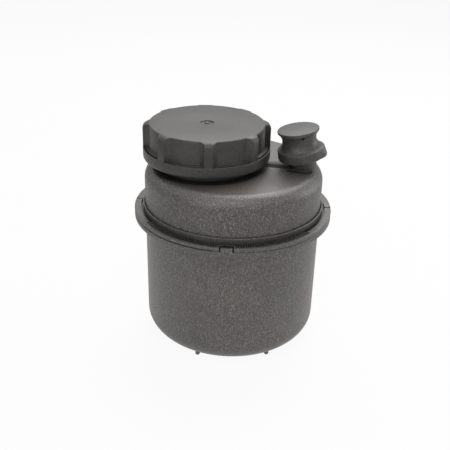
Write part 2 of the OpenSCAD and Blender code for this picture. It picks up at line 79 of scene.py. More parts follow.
# %% Sizes
MM = 0.001
pot_low, pot_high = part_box("lower_pot")
cap_low, cap_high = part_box("filler_cap")
DOME_TOP = 117.8 * MM
NECK_X = -17.8 * MM
STICK = Vector((44.1 * MM, 0, DOME_TOP))
STICK_LEAN = math.radians(9.9)
STICK_TURN = math.radians(18)
LATHE_STEPS = 192
print("pot from", round(pot_low.z / MM, 2), "to", round(pot_high.z / MM, 2), "mm")
print("cap from", round(cap_low.z / MM, 2), "to", round(cap_high.z / MM, 2), "mm")

# %% [markdown]
# ## Camera
# The photograph looks down at about 27 degrees with a short telephoto lens, and the product
# leans a little to the right in it, so the camera is rolled by the same angle. A camera can be
# placed by eye, but the ellipses of cap, flange and knob fix its height and its lens.

# %% Camera
AIM = Vector((-4.85 * MM, 0, 72.3 * MM))
EYE = Vector((19.0 * MM, -423.0 * MM, 284.7 * MM))
LENS_MM = 55.8
ROLL = math.radians(1.39)
camera_data = bpy.data.cameras.new("camera")
camera_data.sensor_width = 36
camera_data.lens = LENS_MM
camera_data.clip_start = 0.01
camera = bpy.data.objects.new("camera", camera_data)
bpy.context.scene.collection.objects.link(camera)
camera.location = EYE
camera.rotation_mode = "QUATERNION"
look = (AIM - EYE).to_track_quat("-Z", "Y")
camera.rotation_quaternion = look @ Quaternion((0, 0, 1), ROLL)
bpy.context.scene.camera = camera
bpy.context.scene.view_settings.view_transform = "Standard"
print("camera", round((AIM - EYE).length, 3), "m away")


# %% [markdown]
# ## Lamps
# The product stands in a light tent. The strongest lamp hangs above and behind and makes the
# tops the palest faces, a second hangs high in front, and two more in front light the walls
# from both sides. A last one stands low at the right, where the photograph shows a pale rim.
# Area lamps are used because their large faces give the soft edges of a tent.

# %% Lamps
def soft_lamp(name, place, size, power, aim=AIM):
    """A square area lamp that faces the product."""
    data = bpy.data.lights.new(name, "AREA")
    data.shape = "SQUARE"
    data.size = size
    data.energy = power
    lamp = bpy.data.objects.new(name, data)
    bpy.context.scene.collection.objects.link(lamp)
    lamp.location = place
    lamp.rotation_mode = "QUATERNION"
    lamp.rotation_quaternion = (Vector(aim) - Vector(place)).to_track_quat("-Z", "Y")
    return lamp


soft_lamp("top_lamp", (0.1, 0.55, 1.0), 0.9, 11)
soft_lamp("high_lamp", (0.0, -0.7, 1.0), 0.8, 3.5)
soft_lamp("front_left", (-0.6, -1.2, 0.5), 0.8, 3.5)
soft_lamp("front_right", (0.6, -1.2, 0.5), 0.8, 1.9)
soft_lamp("right_rim", (1.0, 0.35, 0.25), 0.6, 3)

# %% [markdown]
# ## Surroundings
# The world is white for the camera. Mirrored in the plastic it is brighter overhead than at
# the sides, as a tent is, and as a light it is only a weak fill. A Light Path node tells these
# three kinds of ray apart, so that a white background adds no light to the product.

# %% Surroundings
SKY_FILL = 0.1
SKY_SHADES = [(0.02, 0.4), (0.6, 1.0)]
world = bpy.data.worlds.new("surroundings")
bpy.context.scene.world = world
world.use_nodes = True
sky = world.node_tree
sky.nodes.clear()
sky_out = sky.nodes.new("ShaderNodeOutputWorld")
sky_white = sky.nodes.new("ShaderNodeBackground")
sky_white.inputs["Color"].default_value = (1, 1, 1, 1)
sky_white.inputs["Strength"].default_value = 1
sky_fill = sky.nodes.new("ShaderNodeBackground")
sky_fill.inputs["Color"].default_value = (0.96, 0.98, 1, 1)
sky_fill.inputs["Strength"].default_value = SKY_FILL
sky_seen_from = sky.nodes.new("ShaderNodeTexCoord")
sky_axes = sky.nodes.new("ShaderNodeSeparateXYZ")
sky.links.new(sky_seen_from.outputs["Generated"], sky_axes.inputs[0])
sky_shades = sky.nodes.new("ShaderNodeValToRGB")
for stop, (rise, shade) in zip(sky_shades.color_ramp.elements, SKY_SHADES):
    stop.position = rise
    stop.color = (shade, shade, shade, 1)
sky.links.new(sky_axes.outputs["Z"], sky_shades.inputs["Fac"])
sky_mirror = sky.nodes.new("ShaderNodeBackground")
sky.links.new(sky_shades.outputs["Color"], sky_mirror.inputs["Color"])
sky_path = sky.nodes.new("ShaderNodeLightPath")
sky_mirrored = sky.nodes.new("ShaderNodeMixShader")
sky.links.new(sky_path.outputs["Is Glossy Ray"], sky_mirrored.inputs["Fac"])
sky.links.new(sky_fill.outputs[0], sky_mirrored.inputs[1])
sky.links.new(sky_mirror.outputs[0], sky_mirrored.inputs[2])
sky_mix = sky.nodes.new("ShaderNodeMixShader")
sky.links.new(sky_path.outputs["Is Camera Ray"], sky_mix.inputs["Fac"])
sky.links.new(sky_mirrored.outputs[0], sky_mix.inputs[1])
sky.links.new(sky_white.outputs[0], sky_mix.inputs[2])
sky.links.new(sky_mix.outputs[0], sky_out.inputs["Surface"])
print("surroundings:", len(sky.nodes), "nodes")


# %% [markdown]
# ## Helpers for materials
# A material here is a Principled shader whose colour and height come from a few noise
# textures on Object coordinates. Small helpers add the nodes and links, so each finish below
# reads as a short recipe. The node editor gives the same result by hand.

# %% Material helpers
def new_material(name, roughness, specular=0.5):
    """An empty recipe: returns the material, its node tree, its shader and its coordinates."""
    made = bpy.data.materials.new(name)
    made.use_nodes = True
    tree = made.node_tree
    shader = tree.nodes["Principled BSDF"]
    shader.inputs["Roughness"].default_value = roughness
    shader.inputs["Specular IOR Level"].default_value = specular
    place = tree.nodes.new("ShaderNodeTexCoord")
    return made, tree, shader, place.outputs["Object"]


def add_noise(tree, coords, scale, detail=3, roughness=0.55, stretch=(1, 1, 1)):
    """Noise with features of about 1/scale metres, stretched along an axis if asked."""
    mapping = tree.nodes.new("ShaderNodeMapping")
    mapping.inputs["Scale"].default_value = stretch
    noise = tree.nodes.new("ShaderNodeTexNoise")
    noise.inputs["Scale"].default_value = scale
    noise.inputs["Detail"].default_value = detail
    noise.inputs["Roughness"].default_value = roughness
    tree.links.new(coords, mapping.inputs["Vector"])
    tree.links.new(mapping.outputs["Vector"], noise.inputs["Vector"])
    return noise.outputs["Fac"]


def add_ramp(tree, value, stops):
    """Colour ramp: stops are (position, colour)."""
    ramp = tree.nodes.new("ShaderNodeValToRGB")
    while len(ramp.color_ramp.elements) < len(stops):
        ramp.color_ramp.elements.new(0.5)
    for element, (position, colour) in zip(ramp.color_ramp.elements, stops):
        element.position = position
        element.color = (*colour, 1)
    tree.links.new(value, ramp.inputs["Fac"])
    return ramp.outputs["Color"]


def add_mix(tree, a, b, factor, mode="MIX"):
    """Blend two colours; factor is a number or a socket."""
    mix = tree.nodes.new("ShaderNodeMix")
    mix.data_type = "RGBA"
    mix.blend_type = mode
    if isinstance(factor, (int, float)):
        mix.inputs["Factor"].default_value = factor
    else:
        tree.links.new(factor, mix.inputs["Factor"])
    tree.links.new(a, mix.inputs["A"])
    tree.links.new(b, mix.inputs["B"])
    return mix.outputs["Result"]


def add_bump(tree, shader, heights):
    """Chain of bumps: heights are (socket, depth in metres, strength)."""
    below = None
    for height, depth, strength in heights:
        bump = tree.nodes.new("ShaderNodeBump")
        bump.inputs["Distance"].default_value = depth
        bump.inputs["Strength"].default_value = strength
        tree.links.new(height, bump.inputs["Height"])
        if below is not None:
            tree.links.new(below, bump.inputs["Normal"])
        below = bump.outputs["Normal"]
    tree.links.new(below, shader.inputs["Normal"])


def grey(level, warm=0.0):
    """A grey of that linear level, a little redder when warm is positive."""
    return (level * (1 + warm), level, level * (1 - warm))


# %% [markdown]
# ## Masks for painted shade
# Painted shade darkens the colour where shadow falls in the deep spots: the channel, the notches
# and under the cap. A mask is 1 inside such a spot and 0 outside. It is reckoned from the
# coordinates with Math nodes, because a painted image would need a file.

# %% Masks
def reckon(tree, operation, first, second):
    """One step of arithmetic; each value is a number or a socket."""
    step = tree.nodes.new("ShaderNodeMath")
    step.operation = operation
    for socket, value in zip(step.inputs, (first, second)):
        if isinstance(value, (int, float)):
            socket.default_value = value
        else:
            tree.links.new(value, socket)
    return step.outputs[0]


def between(tree, value, low, high):
    """1 where the value lies between two limits, else 0."""
    above = reckon(tree, "GREATER_THAN", value, low)
    return reckon(tree, "MULTIPLY", above, reckon(tree, "LESS_THAN", value, high))


def add_ring(tree, coords, centre_x, radii, heights, fade=0.0):
    """1 inside a ring round a vertical axis, sharp or fading over its outer edge."""
    flat = tree.nodes.new("ShaderNodeMapping")
    flat.inputs["Location"].default_value = (-centre_x, 0, 0)
    flat.inputs["Scale"].default_value = (1, 1, 0)
    reach = tree.nodes.new("ShaderNodeVectorMath")
    reach.operation = "LENGTH"
    axes = tree.nodes.new("ShaderNodeSeparateXYZ")
    tree.links.new(coords, flat.inputs["Vector"])
    tree.links.new(flat.outputs["Vector"], reach.inputs[0])
    tree.links.new(coords, axes.inputs[0])
    inside = between(tree, reach.outputs["Value"], *radii)
    if fade:
        soft = reckon(tree, "SUBTRACT", radii[1], reach.outputs["Value"])
        soft = reckon(tree, "MINIMUM", reckon(tree, "DIVIDE", soft, fade), 1.0)
        inside = reckon(tree, "MULTIPLY", inside, soft)
    return reckon(tree, "MULTIPLY", inside, between(tree, axes.outputs["Z"], *heights))


def add_block(tree, coords, low, high):
    """1 inside a box between two corners."""
    axes = tree.nodes.new("ShaderNodeSeparateXYZ")
    tree.links.new(coords, axes.inputs[0])
    inside = 1.0
    for axis, least, most in zip("XYZ", low, high):
        inside = reckon(tree, "MULTIPLY", between(tree, axes.outputs[axis], least, most), inside)
    return inside


# %% [markdown]
# ## Shell plastic
# The two shells are glass-filled nylon: dark grey, dull, with pale fibres that swim in the
# skin and a cloudy unevenness from the mould's flow. Three noises of different size are
# multiplied, and the two finer ones also raise the skin a little.

# %% Shell plastic
# Rings of painted shade in mm: centre across, radii, heights, width of the soft edge, and how
# dark it gets.
PAINTED_SHADE_RINGS = [
    (0, (59.3, 59.6), (86, 92.6), 0, 0.32),  # wall of the lip
    (0, (59.59, 63.05), (86, 89.1), 0, 0.14),  # channel and pockets
    (0, (63.8, 64.95), (86.4, 87.5), 0, 0.14),  # seam
    (NECK_X / MM, (0, 41), (117, 138), 3, 0.08),  # under the cap
    (STICK.x / MM, (0, 15.5), (117.7, 125), 3.5, 0.1),  # under the knob
]
# Blocks of painted shade in the key gaps, the notch and the marks, in mm, between two corners.
PAINTED_GAP_SHADES = [
    ((-4.45, -66, 86.7), (-3.45, -61, 89.1)),  # left of the front key
    ((3.45, -66, 86.7), (4.45, -61, 89.1)),  # right of the front key
    ((-4.45, -62.95, 86.7), (4.45, -61.05, 89.1)),  # behind the front key
    ((63.9, -1.8, 86.9), (65.2, 1.8, 89.1)),  # notch in the rim at the right
    ((58, 6.6, 87), (60.5, 9, 89.1)),  # hole at the lip's end
    ((60.2, -0.9, 87), (61.7, 0.9, 89.1)),  # mark beside it
]
# How dark the painted shade in the gaps gets.
GAP_SHADE_LEVEL = 0.08


def make_shell_plastic():
    made, tree, shader, place = new_material("shell_plastic", 0.5, 0.75)
    clouds = add_noise(tree, place, 30, 3, 0.5)
    mottle = add_noise(tree, place, 850, 3, 0.6, (1, 1, 0.35))
    fibres = add_noise(tree, place, 1500, 2, 0.7, (1, 1, 0.6))
    base = add_ramp(tree, clouds, [(0.3, grey(0.072, 0.07)), (0.7, grey(0.088, 0.09))])
    patch = add_ramp(tree, mottle, [(0.32, grey(0.72)), (0.68, grey(1.24, 0.02))])
    grain = add_ramp(tree, fibres, [(0.3, grey(0.3)), (0.52, grey(0.92)), (0.7, grey(2.4))])
    mixed = add_mix(tree, base, patch, 1.0, "MULTIPLY")
    mixed = add_mix(tree, mixed, grain, 1.0, "MULTIPLY")
    # Painted shade: rings and blocks darken the colour where shadow falls in the channel, the
    # gaps and under the cap and knob.
    for centre_x, radii, heights, fade, level in PAINTED_SHADE_RINGS:
        ring = add_ring(
            tree, place, centre_x * MM, [r * MM for r in radii], [h * MM for h in heights],
            fade * MM,
        )
        painted_shade = add_ramp(tree, ring, [(0.0, grey(1.0)), (1.0, grey(level))])
        mixed = add_mix(tree, mixed, painted_shade, 1.0, "MULTIPLY")
    for low, high in PAINTED_GAP_SHADES:
        gap_shade_mask = add_block(tree, place, [v * MM for v in low], [v * MM for v in high])
        painted_shade = add_ramp(tree, gap_shade_mask, [(0.0, grey(1.0)), (1.0, grey(GAP_SHADE_LEVEL))])
        mixed = add_mix(tree, mixed, painted_shade, 1.0, "MULTIPLY")
    tree.links.new(mixed, shader.inputs["Base Color"])
    dull = add_ramp(tree, mottle, [(0.3, grey(0.38)), (0.7, grey(0.52))])
    tree.links.new(dull, shader.inputs["Roughness"])
    add_bump(tree, shader, [(fibres, 0.00012, 0.5), (mottle, 0.0003, 0.25)])
    return made


SHELL = make_shell_plastic()
print("shell plastic:", len(SHELL.node_tree.nodes), "nodes")


# %% [markdown]
# ## Smooth plastics and rubber
# Cap and knob are the same grey without fibres, smoother and a touch warmer. The strainer and
# the stand inside are a paler plastic, and the seals a black rubber. One recipe serves them
# all with other values, because only tone and shine differ.

# %% Smooth plastics
def make_smooth_plastic(name, level, warm, roughness):
    made, tree, shader, place = new_material(name, roughness, 0.45)
    clouds = add_noise(tree, place, 60, 3, 0.5)
    fine = add_noise(tree, place, 1500, 2, 0.6)
    low, high = grey(level * 0.86, warm), grey(level * 1.14, warm)
    base = add_ramp(tree, clouds, [(0.3, low), (0.7, high)])
    speck = add_ramp(tree, fine, [(0.32, grey(0.6)), (0.68, grey(1.4))])
    tree.links.new(add_mix(tree, base, speck, 1.0, "MULTIPLY"), shader.inputs["Base Color"])
    add_bump(tree, shader, [(fine, 0.0002, 0.45), (clouds, 0.001, 0.15)])
    return made


CAP_PLASTIC = make_smooth_plastic("cap_plastic", 0.042, 0.06, 0.4)
KNOB_PLASTIC = make_smooth_plastic("knob_plastic", 0.06, 0.06, 0.42)
INNER_PLASTIC = make_smooth_plastic("inner_plastic", 0.16, 0.0, 0.5)
RUBBER = make_smooth_plastic("rubber", 0.018, 0.0, 0.7)
print("smooth:", [m.name for m in (CAP_PLASTIC, KNOB_PLASTIC, INNER_PLASTIC, RUBBER)])


# %% [markdown]
# ## Metal and paper
# The springs and plates are bright steel with faint lines along the drawing direction, and
# the filter's pleats are a rough yellow paper. Stretched noise gives the lines without a
# texture file.

# %% Metal and paper
def make_steel(name, level, roughness):
    made, tree, shader, place = new_material(name, roughness)
    shader.inputs["Metallic"].default_value = 1.0
    drawn = add_noise(tree, place, 700, 3, 0.6, (1, 1, 0.08))
    shades = [(0.3, grey(level * 0.82)), (0.7, grey(level * 1.08))]
    tree.links.new(add_ramp(tree, drawn, shades), shader.inputs["Base Color"])
    add_bump(tree, shader, [(drawn, 0.00005, 0.3)])
    return made


def make_paper():
    made, tree, shader, place = new_material("paper", 0.85, 0.2)
    pulp = add_noise(tree, place, 1200, 4, 0.7)
    shades = [(0.3, (0.42, 0.27, 0.09)), (0.7, (0.66, 0.47, 0.2))]
    tree.links.new(add_ramp(tree, pulp, shades), shader.inputs["Base Color"])
    add_bump(tree, shader, [(pulp, 0.0001, 0.5)])
    return made


STEEL = make_steel("sheet_steel", 0.62, 0.32)
WIRE = make_steel("spring_steel", 0.55, 0.28)
PAPER = make_paper()
finishes = {
    "shell_plastic": SHELL, "cap_plastic": CAP_PLASTIC, "knob_plastic": KNOB_PLASTIC,
    "inner_plastic": INNER_PLASTIC, "rubber": RUBBER, "sheet_steel": STEEL,
    "spring_steel": WIRE, "paper": PAPER,
}
print("finishes:", sorted(finishes))

# %% [markdown]
# ## The inner pieces keep their solids
# What sits inside, such as the filter element, its springs and the strainer, is already right
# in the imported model. Each node only takes the finish of its material slot. Modelling them
# again would add nothing, because little of them shows.

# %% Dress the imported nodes
for row in frame["record"]["subparts"]:
    node = frame["nodes"][row["node"]]
    node.data.materials.clear()
    node.data.materials.append(finishes[row["material_slot"]])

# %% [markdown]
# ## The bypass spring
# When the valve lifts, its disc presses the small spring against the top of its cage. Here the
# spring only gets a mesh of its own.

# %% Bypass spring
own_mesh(frame["nodes"]["bypass_spring"])


# %% [markdown]
# ## Helpers for turned pieces
# Both shells, the cap and the knob are turned shapes. As by hand, a lathe piece starts as one
# vertex that is extruded from point to point along half a section. Corners are rounded by a
# vertex bevel, and the closed section is spun round its axis. A list of sections could have
# been written as a mesh at once, but a drawn section is easier to change and to read.

# %% Lathe helpers
def deselect():
    if bpy.context.object and bpy.context.object.mode != "OBJECT":
        bpy.ops.object.mode_set(mode="OBJECT")
    bpy.ops.object.select_all(action="DESELECT")


def activate(piece):
    deselect()
    piece.select_set(True)
    bpy.context.view_layer.objects.active = piece


def pick_verts(piece, test):
    """Select, in edit mode, the vertices whose place passes the test."""
    bpy.ops.object.mode_set(mode="OBJECT")
    for part in (piece.data.polygons, piece.data.edges):
        for item in part:
            item.select = False
    for vert in piece.data.vertices:
        vert.select = test(vert.co)
    bpy.ops.object.mode_set(mode="EDIT")
    bpy.ops.mesh.select_mode(type="VERT")


def draw_section(name, points):
    """Draw a closed half section in the XZ plane. A point is (x, z) or (x, z, corner radius)."""
    deselect()
    bpy.ops.mesh.primitive_plane_add(size=0.001, location=(0, 0, 0))
    piece = bpy.context.object
    piece.name = name
    bpy.ops.object.mode_set(mode="EDIT")
    bpy.ops.mesh.select_mode(type="VERT")
    bpy.ops.mesh.select_all(action="SELECT")
    bpy.ops.mesh.merge(type="CENTER")
    start = Vector((points[0][0], 0, points[0][1]))
    bpy.ops.transform.translate(value=start)
    last = start
    for point in points[1:]:
        spot = Vector((point[0], 0, point[1]))
        bpy.ops.mesh.extrude_region_move(TRANSFORM_OT_translate={"value": spot - last})
        last = spot
    bpy.ops.mesh.select_all(action="SELECT")
    bpy.ops.mesh.edge_face_add()
    bpy.ops.object.mode_set(mode="OBJECT")
    return piece


def round_corners(piece, points, segments=6):
    """Round the corners that name a radius, each with a vertex bevel of its own size."""
    for point in points:
        if len(point) == 3:
            spot = Vector((point[0], 0, point[1]))
            pick_verts(piece, lambda co: (co - spot).length < 1e-6)
            count = segments if point[2] < 3 * MM else 2 * segments
            bpy.ops.mesh.bevel(offset=point[2], segments=count, affect="VERTICES")
    bpy.ops.object.mode_set(mode="OBJECT")


def lathe(name, points, centre=(0, 0), steps=LATHE_STEPS, angle=2 * math.pi, segments=6):
    """Spin a closed section round the vertical axis through centre and close the seam."""
    piece = draw_section(name, points)
    round_corners(piece, points, segments)
    bpy.ops.object.mode_set(mode="EDIT")
    bpy.ops.mesh.select_all(action="SELECT")
    if angle > 6:
        bpy.ops.mesh.delete(type="ONLY_FACE")
        bpy.ops.mesh.select_all(action="SELECT")
    bpy.ops.mesh.spin(
        steps=steps, angle=angle, use_auto_merge=True,
        center=(0, 0, 0), axis=(0, 0, 1),
    )
    bpy.ops.mesh.select_all(action="SELECT")
    bpy.ops.mesh.remove_doubles(threshold=1e-6)
    bpy.ops.transform.translate(value=(centre[0], centre[1], 0))
    bpy.ops.mesh.normals_make_consistent(inside=False)
    bpy.ops.object.mode_set(mode="OBJECT")
    return piece


def finish_piece(piece, body, slot, *nodes, smooth=32):
    """Shade, give the finish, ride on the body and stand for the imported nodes."""
    activate(piece)
    bpy.ops.object.transform_apply(location=True, rotation=True, scale=True)
    bpy.ops.object.shade_smooth_by_angle(angle=math.radians(smooth))
    piece.data.materials.clear()
    piece.data.materials.append(finishes[slot])
    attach(piece, body)
    if nodes:
        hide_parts(*nodes)
    print(piece.name, len(piece.data.vertices), "vertices on", body)
    return piece


# %% [markdown]
# ## Helpers for cuts and copies
# A hole is a tool piece taken away with a boolean, as a drill or a mould core would leave it.
# What repeats, such as a lug or a rib, is modelled once and copied round an axis.

# %% Helpers for cuts and copies
def combine(piece, tools, operation):
    """Exact boolean of a piece with one or several tool pieces, which are used up."""
    for tool in tools:
        activate(piece)
        bpy.ops.object.modifier_add(type="BOOLEAN")
        step = piece.modifiers[-1]
        step.operation = operation
        step.solver = "EXACT"
        step.object = tool
        bpy.ops.object.modifier_apply(modifier=step.name)
        bpy.data.objects.remove(tool)


def join(piece, others):
    """Join several pieces into the first one, each keeping its own shell."""
    activate(piece)
    for other in others:
        other.select_set(True)
    bpy.ops.object.join()
    return piece


def rounded_box(name, low, high, radius=0.3 * MM):
    """A box between two corners with rounded edges."""
    deselect()
    low, high = Vector(low), Vector(high)
    bpy.ops.mesh.primitive_cube_add(size=1, location=(low + high) / 2, scale=high - low)
    box = bpy.context.object
    box.name = name
    bpy.ops.object.transform_apply(location=True, rotation=True, scale=True)
    if radius:
        bpy.ops.object.mode_set(mode="EDIT")
        bpy.ops.mesh.select_all(action="SELECT")
        bpy.ops.mesh.bevel(offset=radius, segments=2, affect="EDGES")
        bpy.ops.object.mode_set(mode="OBJECT")
    return box


def turn_copies(source, angles, centre=(0, 0)):
    """Copies of a piece, each with its own mesh, turned round a vertical axis by these angles."""
    made = []
    for angle in angles:
        activate(source)
        bpy.ops.object.duplicate(linked=False)
        copy = bpy.context.object
        spot = Matrix.Translation((centre[0], centre[1], 0))
        copy.matrix_world = spot @ Matrix.Rotation(angle, 4, "Z") @ spot.inverted()
        bpy.ops.object.transform_apply(location=True, rotation=True, scale=True)
        made.append(copy)
    return made


def peg(name, radius, start, end, steps=96):
    """A plain round bar between two points, for holes and pads."""
    start, end = Vector(start), Vector(end)
    deselect()
    bpy.ops.mesh.primitive_cylinder_add(
        vertices=steps, radius=radius, depth=(end - start).length, location=(start + end) / 2,
    )
    bar = bpy.context.object
    bar.name = name
    bar.rotation_mode = "QUATERNION"
    bar.rotation_quaternion = (end - start).to_track_quat("Z", "Y")
    bpy.ops.object.transform_apply(location=True, rotation=True, scale=True)
    return bar


# %% [markdown]
# ## Lower pot
# The pot holds the oil. One closed section gives the round floor corner, the straight wall
# and the flange half. Pads for the two nipples are joined on with a boolean, then the holes
# go through pad and wall. A cube bent round would need far more work for the same wall.

# %% Pot body
PORT_Z = 26 * MM
SUCTION_X = 24 * MM
pot_section = [
    (0, 0), (57.8, 0, 12.6), (57.8, 83.4, 0.8), (65, 83.4, 0.4), (65, 86.8, 0.5),
    (55, 86.8), (55, 78.3), (52.6, 78.3), (52.6, 76.1), (55, 73.7), (55, 3, 9.8), (0, 3),
]
pot_section = [tuple(value * MM for value in point) for point in pot_section]
pot = lathe("pot_moulding", pot_section)
pads = [
    peg("pad", 13.5 * MM, (SUCTION_X, 0.040, PORT_Z), (SUCTION_X, 0.0588, PORT_Z)),
    peg("pad", 10.5 * MM, (NECK_X, 0.046, PORT_Z), (NECK_X, 0.0588, PORT_Z)),
]
holes = [
    peg("hole", 11.1 * MM, (SUCTION_X, 0.035, PORT_Z), (SUCTION_X, 0.07, PORT_Z)),
    peg("hole", 8.1 * MM, (NECK_X, 0.040, PORT_Z), (NECK_X, 0.07, PORT_Z)),
]
combine(pot, pads, "UNION")
combine(pot, holes, "DIFFERENCE")
print("pot:", len(pot.data.vertices), "vertices")

# %% [markdown]
# ## Keys and feet
# Three keys on the flange turn the dome to its place before the weld, and six small feet
# under the floor keep the pot off the bench. They are joined to the pot as shells of their
# own, which keeps the booleans few.

# %% Keys and feet
KEY_ANGLES = [math.radians(a) for a in (-90, 30, 150)]
key = lathe(
    "key",
    [(62.9 * MM, 86 * MM), (65 * MM, 86 * MM), (65 * MM, 89.2 * MM, 0.3 * MM),
     (62.9 * MM, 89.2 * MM, 0.2 * MM)],
    steps=10, angle=7 / 65, segments=3,
)
keys = turn_copies(key, [a + 3.5 / 65 for a in KEY_ANGLES])
bpy.data.objects.remove(key)
foot = rounded_box("foot", (0.0447, -0.0012, -0.0046), (0.0475, 0.0012, 0.0015), 0.2 * MM)
feet = turn_copies(foot, [math.radians(6 + 60 * i) for i in range(6)])
bpy.data.objects.remove(foot)
join(pot, keys + feet)
finish_piece(pot, "housing", "shell_plastic", "lower_pot")

# %% [markdown]
# ## Upper shell
# The dome is turned like the pot. Two necks stand on it: the wide filler neck, and the narrow
# dipstick neck that leans. They are united with the dome first and bored afterwards, so that
# each bore goes through neck and skin in one cut.

# %% Dome and necks
dome_section = [
    (0, 115), (55.1, 115, 5.4), (55.1, 89.2), (52.4, 89.2), (52.4, 80, 0.4), (54.8, 80, 0.4),
    (54.8, 86.8), (65, 86.8, 0.4), (65, 89.2, 0.4), (57.9, 89.2, 0.4), (57.9, 117.8, 8.2),
    (0, 117.8),
]
dome_section = [tuple(value * MM for value in point) for point in dome_section]
shell = lathe("dome_moulding", dome_section)
neck_section = [
    (29.9, 115.5), (32.6, 115.5), (32.6, 139.2, 0.5), (29.9, 139.2, 0.4),
]
neck_section = [tuple(value * MM for value in point) for point in neck_section]
neck = lathe("neck", neck_section, centre=(NECK_X, 0), steps=128)
stick_axis = Vector((
    -math.sin(STICK_LEAN) * math.cos(STICK_TURN),
    -math.sin(STICK_LEAN) * math.sin(STICK_TURN),
    math.cos(STICK_LEAN),
))
stick_neck = peg(
    "stick_neck", 9.4 * MM, STICK - stick_axis * 2 * MM, STICK + stick_axis * 6.5 * MM,
)
activate(stick_neck)
bpy.ops.object.mode_set(mode="EDIT")
bpy.ops.mesh.select_all(action="SELECT")
bpy.ops.mesh.bevel(offset=0.4 * MM, segments=3, affect="EDGES", clamp_overlap=True)
bpy.ops.object.mode_set(mode="OBJECT")
combine(shell, [neck, stick_neck], "UNION")
mouth = peg("mouth", 30 * MM, (NECK_X, 0, 0.105), (NECK_X, 0, 0.145), 128)
bore = peg("bore", 7 * MM, STICK - stick_axis * 9 * MM, STICK + stick_axis * 12 * MM)
combine(shell, [mouth, bore], "DIFFERENCE")
print("dome:", len(shell.data.vertices), "vertices")

# %% [markdown]
# ## Key notches
# The keys of the pot show in three notches of the dome's flange. Each notch is a little wider
# and deeper than its key, which leaves the dark gap that the photograph shows.

# %% Key notches
NOTCH_INNER = 61.1 * MM
notch_section = [
    (NOTCH_INNER, 86 * MM), (66 * MM, 86 * MM), (66 * MM, 90 * MM), (NOTCH_INNER, 90 * MM),
]
notch = lathe("notch", notch_section, steps=10, angle=8.8 / 65)
notches = turn_copies(notch, [a + 4.4 / 65 for a in KEY_ANGLES])
bpy.data.objects.remove(notch)
combine(shell, notches, "DIFFERENCE")
print("notches:", len(notches))


# %% [markdown]
# ## Channel and lip
# A thin lip and a deep channel run round the front half only, because a mould slide forms
# them, and they end a little past the parting plane. The channel takes the flash of the weld.
# Outside it lies a shallow ring for the flash ribs, and at the left the seam between the two
# flanges stays open. Each is a section that is swept through part of a turn.

# %% Channel, ribbed ring, seam and lip
def ring_part(name, points, first, last, segments=3):
    """A section swept round the flange from one angle to another, in degrees."""
    swept = lathe(
        name, [tuple(v * MM for v in point) for point in points],
        steps=int((last - first) / 1.8), angle=math.radians(last - first), segments=segments,
    )
    placed = turn_copies(swept, [math.radians(last)])[0]
    bpy.data.objects.remove(swept)
    return placed


LIP_FROM, LIP_TO = 180.4, 366.5
RIBS_FROM, RIBS_TO = 214, 322
channel = ring_part(
    "channel", [(59.4, 87.7), (60.9, 87.7), (60.9, 90), (59.4, 90)], LIP_FROM, LIP_TO,
)
ribbed = ring_part(
    "ribbed", [(60.85, 88.0), (63, 88.0), (63, 90), (60.85, 90)], RIBS_FROM, RIBS_TO,
)
for cut in (channel, ribbed):
    land = rounded_box("land", (-5.4 * MM, -64 * MM, 87 * MM), (5.4 * MM, -60 * MM, 91 * MM), 0)
    combine(cut, [land], "DIFFERENCE")
seam = ring_part("seam", [(64, 86), (66, 86), (66, 87.4), (64, 87.4)], 184, 263)
combine(shell, [channel, ribbed, seam], "DIFFERENCE")
lip = ring_part(
    "lip", [(58.4, 88.9), (59.4, 88.9), (59.4, 93, 0.3), (58.4, 93, 0.3)], LIP_FROM, LIP_TO,
)
print("lip from", LIP_FROM, "to", LIP_TO, "degrees")

# %% [markdown]
# ## Parting lines and marks
# Where two halves of the mould meet, a fine line stays on the part. Here it crosses the top
# and the flange. At the right end of the lip the mould leaves a notch, a mark and a round
# hole. All are cut, not painted, so that they catch the light from any side.

# %% Parting lines and marks
marks = [
    rounded_box("mark", (20 * MM, -0.4 * MM, 117.0 * MM), (49 * MM, 0.4 * MM, 118 * MM), 0),
    rounded_box("mark", (60.5 * MM, -0.5 * MM, 88.0 * MM), (66 * MM, 0.5 * MM, 90 * MM), 0),
    rounded_box("mark", (-66 * MM, -0.5 * MM, 88.0 * MM), (-59.5 * MM, 0.5 * MM, 90 * MM), 0),
    rounded_box("mark", (64 * MM, -1.6 * MM, 87.2 * MM), (66 * MM, 1.6 * MM, 90 * MM), 0),
    rounded_box("mark", (60.3 * MM, -0.8 * MM, 87.6 * MM), (61.6 * MM, 0.8 * MM, 90 * MM), 0),
    peg("mark", 0.85 * MM, (59.2 * MM, 7.7 * MM, 87.6 * MM), (59.2 * MM, 7.7 * MM, 90 * MM), 24),
]
combine(shell, marks, "DIFFERENCE")
print("marks:", len(marks))

# %% [markdown]
# ## Flash ribs
# Fine upright ribs stand close together in the ring outside the channel and break up the
# flash of the weld. One rib is a plain block, and it is left out where a key's land is.

# %% Flash ribs
RIB_COUNT = 76
RIB_STEP = 180 / 128
rib = rounded_box("rib", (0.0593, -0.0003, 0.0876), (0.0631, 0.0003, 0.08915), 0)
rib_angles = []
for count in range(RIB_COUNT):
    angle = math.radians(RIBS_FROM + 1.4 + count * RIB_STEP)
    away = min(abs((angle - a + math.pi) % (2 * math.pi) - math.pi) for a in KEY_ANGLES)
    if away > 5.4 / 62:
        rib_angles.append(angle)
ribs = turn_copies(rib, rib_angles)
bpy.data.objects.remove(rib)
join(shell, [lip] + ribs)
print("ribs:", len(rib_angles))
finish_piece(shell, "housing", "shell_plastic", "upper_shell")

# %% [markdown]
# ## Filler cap
# The cap is gripped by the whole hand. Its body is turned, with a band below and a shallow
# gate dimple in the middle of the top. A lug starts as a box that is narrowed outwards and
# lowered at its crown, and eight copies stand round the body.

